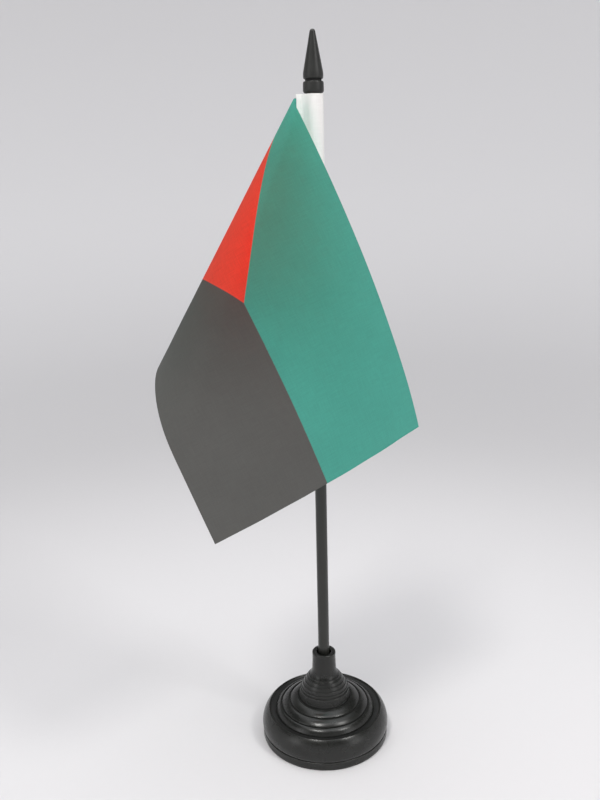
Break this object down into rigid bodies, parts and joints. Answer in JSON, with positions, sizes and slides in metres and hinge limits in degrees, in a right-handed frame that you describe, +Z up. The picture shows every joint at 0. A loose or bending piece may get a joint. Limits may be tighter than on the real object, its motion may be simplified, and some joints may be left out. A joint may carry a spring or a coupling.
{
  "type": "desk flag stand",
  "caption": "Desk flag stand: a small folded cloth flag in a sleeve on a plastic pole with a pointed finial, standing in a ringed round foot.",
  "frame": {"origin": "centre of the foot's flat underside, on the pole's axis", "axes": "+Z up along the pole, -Y towards the viewer of the flag's front, +X to that viewer's right"},
  "size_m": [0.1005, 0.0934, 0.3],
  "materials": {
    "black_plastic": "moulded black plastic, satin gloss",
    "pole_plastic": "drawn black plastic rod, satin gloss",
    "ballast_steel": "bare pressed steel, dull",
    "printed_cloth": "thin plain-weave polyester printed through in three flat fields",
    "white_cloth": "white plain-weave polyester strip",
    "white_thread": "white sewing thread"
  },
  "bodies": {
    "foot": {"base_shell": "black_plastic", "base_cover": "black_plastic", "base_weight": "ballast_steel"},
    "pole": {"pole": "pole_plastic"},
    "finial": {"finial": "black_plastic"},
    "flag": {"flag_cloth": "printed_cloth", "flag_sleeve": "white_cloth", "needle_thread": "white_thread", "bobbin_thread": "white_thread"}
  },
  "joints": [
    {"name": "pole_lift", "type": "slide", "parent": "foot", "child": "pole", "axis": [0, 0, 1], "range_m": [0, 0.042]},
    {"name": "flag_swivel", "type": "hinge", "parent": "pole", "child": "flag", "pos_m": [0, 0, 0.2272], "axis": [0, 0, 1], "continuous": true},
    {"name": "finial_pull", "type": "slide", "parent": "pole", "child": "finial", "axis": [0, 0, 1], "range_m": [0, 0.012]}
  ]
}
